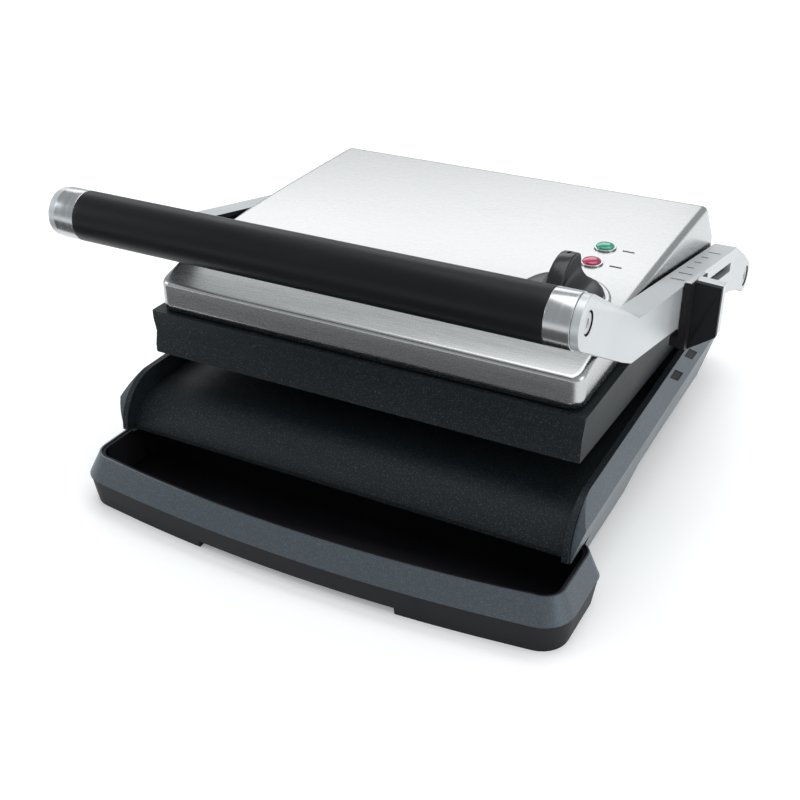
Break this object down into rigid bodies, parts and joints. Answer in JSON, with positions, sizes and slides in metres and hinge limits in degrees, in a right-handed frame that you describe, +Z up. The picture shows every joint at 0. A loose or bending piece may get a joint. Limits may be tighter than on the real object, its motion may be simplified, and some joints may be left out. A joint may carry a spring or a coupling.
{
  "type": "panini press",
  "caption": "Countertop contact grill with a flat lower plate, floating ribbed upper plate under a brushed steel lid, swing-over handle, height slider, dial and pull-out drip tray.",
  "frame": {"origin": "middle of the footprint on the counter plane, on the plane of symmetry of the housing, under the lower cooking plate", "axes": "+X to the right of a person facing the handle, +Y from the handle to the hinge at the back, +Z up"},
  "size_m": [0.36, 0.4229, 0.216],
  "materials": {
    "painted_silver": "satin grey-silver paint with fine metallic flake",
    "black_plastic": "fine-textured moulding",
    "non_stick": "cast, speckled black non-stick coating",
    "brushed_cover": "brushed stainless sheet",
    "ferrule_steel": "turned and brushed",
    "cast_alloy": "satin die casting",
    "plain_steel": "zinc plated",
    "heater_sheath": "heat-darkened sheath",
    "reflector": "mill finish sheet",
    "insulator": "off-white moulded insulator",
    "grip": "soft-sheen black sleeve",
    "rubber": "plain",
    "green_lens": "translucent lens",
    "red_lens": "translucent lens",
    "mark_ink": "printed mark",
    "pointer_white": "white insert",
    "gloss_black": "polished moulding"
  },
  "bodies": {
    "base": {"base_shell": "painted_silver", "base_pan": "black_plastic", "pan_screws": "plain_steel", "rubber_feet": "rubber", "height_rack": "black_plastic", "lower_plate": "non_stick", "lower_heater": "heater_sheath", "lower_reflector": "reflector", "thermal_cutout": "insulator", "rear_housing": "black_plastic", "housing_floor": "black_plastic", "terminal_block": "insulator", "cord_gland": "rubber", "hinge_post_left": "cast_alloy", "hinge_post_right": "cast_alloy", "hinge_pin_left": "plain_steel", "hinge_pin_right": "plain_steel"},
    "drip_tray": {"tray_pan": "black_plastic", "tray_band": "painted_silver"},
    "lift_frame": {"arm_left": "cast_alloy", "arm_right": "cast_alloy", "handle_tube": "plain_steel", "handle_grip": "grip", "ferrule_left": "ferrule_steel", "ferrule_right": "ferrule_steel", "handle_screws": "plain_steel", "lid_pivot_left": "plain_steel", "lid_pivot_right": "plain_steel", "scale_marks": "mark_ink", "track_liner": "black_plastic"},
    "height_slider": {"slider_body": "black_plastic", "slider_trim": "cast_alloy", "slider_key": "plain_steel"},
    "lid": {"upper_plate": "non_stick", "upper_heater": "heater_sheath", "upper_reflector": "reflector", "inner_frame": "black_plastic", "lid_screws": "plain_steel", "top_cover": "brushed_cover", "dial_bezel": "ferrule_steel", "thermostat": "insulator", "power_lens": "green_lens", "ready_lens": "red_lens", "lens_rings": "ferrule_steel", "lamp_holders": "insulator", "lamp_marks": "mark_ink", "conduit_gland": "plain_steel"},
    "dial": {"dial_knob": "gloss_black", "dial_pointer": "pointer_white", "dial_shaft": "plain_steel"}
  },
  "joints": [
    {"name": "frame_lift", "type": "hinge", "parent": "base", "child": "lift_frame", "pos_m": [0, 0.196, 0.081], "axis": [-1, 0, 0], "range_deg": [0, 100]},
    {"name": "lid_float", "type": "hinge", "parent": "lift_frame", "child": "lid", "pos_m": [0, 0.0155, 0.125], "axis": [1, 0, 0], "range_deg": [-1.5, 4]},
    {"name": "dial_turn", "type": "hinge", "parent": "lid", "child": "dial", "pos_m": [0.106, -0.059, 0.15184], "axis": [0, -0.1015, 0.9948], "range_deg": [-135, 135]},
    {"name": "height_slide", "type": "slide", "parent": "lift_frame", "child": "height_slider", "axis": [0, 0.9838, -0.1792], "range_m": [0, 0.1]},
    {"name": "tray_slide", "type": "slide", "parent": "base", "child": "drip_tray", "axis": [0, -1, 0], "range_m": [0, 0.11]}
  ]
}
